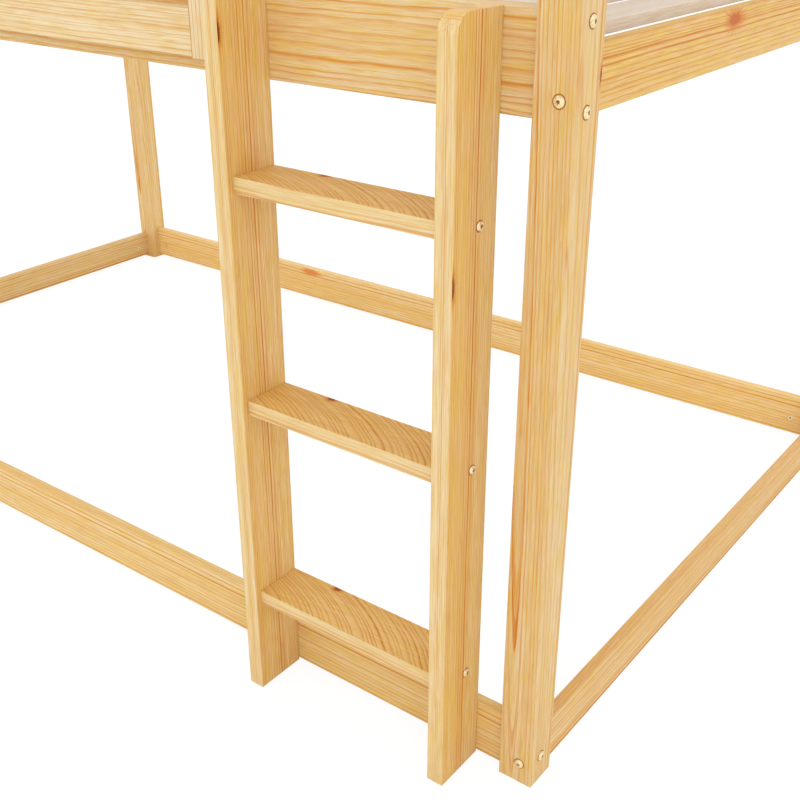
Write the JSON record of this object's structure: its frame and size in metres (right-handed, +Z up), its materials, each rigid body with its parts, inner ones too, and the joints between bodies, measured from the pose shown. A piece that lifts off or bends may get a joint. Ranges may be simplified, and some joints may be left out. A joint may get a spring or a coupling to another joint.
{
  "type": "bunk bed",
  "caption": "Low pine bunk bed: a floor-level bunk frame and a slatted upper bunk on square posts, with an upright ladder at the front and guard boards all round.",
  "frame": {"origin": "on the floor, in the middle of the whole outline, ladder included", "axes": "+X along the bed towards the ladder's end, +Y away from the ladder's side, +Z up"},
  "size_m": [1.8057, 1.1112, 1.13],
  "materials": {
    "pine": "clear satin lacquer on pine",
    "slat_wood": "bare pale wood",
    "bolt_metal": "pale brass plating",
    "screw_metal": "pale zinc-brass plating"
  },
  "bodies": {
    "root": {"post_front_left": "pine", "post_front_right": "pine", "post_back_left": "pine", "post_back_right": "pine", "lower_rail_front": "pine", "lower_rail_back": "pine", "lower_rail_left": "pine", "lower_rail_right": "pine", "upper_rail_front": "pine", "upper_rail_back": "pine", "upper_rail_left": "pine", "upper_rail_right": "pine", "slat_ledger_front": "pine", "slat_ledger_back": "pine", "slat_stop_front": "pine", "slat_stop_back": "pine", "ladder_upright_left": "pine", "ladder_upright_right": "pine", "tread_low": "pine", "tread_middle": "pine", "tread_high": "pine", "guard_stile_left": "pine", "guard_stile_right": "pine", "guard_board_front_low": "pine", "guard_board_front_middle": "pine", "guard_board_front_top": "pine", "guard_board_left_middle": "pine", "guard_board_left_top": "pine", "guard_board_right_middle": "pine", "guard_board_right_top": "pine", "guard_board_back_middle": "pine", "guard_board_back_top": "pine", "guard_batten_back": "pine", "slat_01": "slat_wood", "slat_02": "slat_wood", "slat_03": "slat_wood", "slat_04": "slat_wood", "slat_05": "slat_wood", "slat_06": "slat_wood", "slat_07": "slat_wood", "slat_08": "slat_wood", "slat_09": "slat_wood", "slat_10": "slat_wood", "slat_11": "slat_wood", "slat_12": "slat_wood", "slat_13": "slat_wood", "slat_14": "slat_wood", "slat_15": "slat_wood", "slat_16": "slat_wood", "slat_17": "slat_wood", "bolt_front_lower": "bolt_metal", "bolt_front_upper": "bolt_metal", "bolt_side_lower": "bolt_metal", "bolt_side_upper_low": "bolt_metal", "bolt_side_upper_high": "bolt_metal", "barrel_nut_end_rail_lower": "bolt_metal", "barrel_nut_long_rail_lower": "bolt_metal", "ladder_screw_low": "screw_metal", "ladder_screw_middle": "screw_metal", "ladder_screw_high": "screw_metal"}
  },
  "joints": []
}
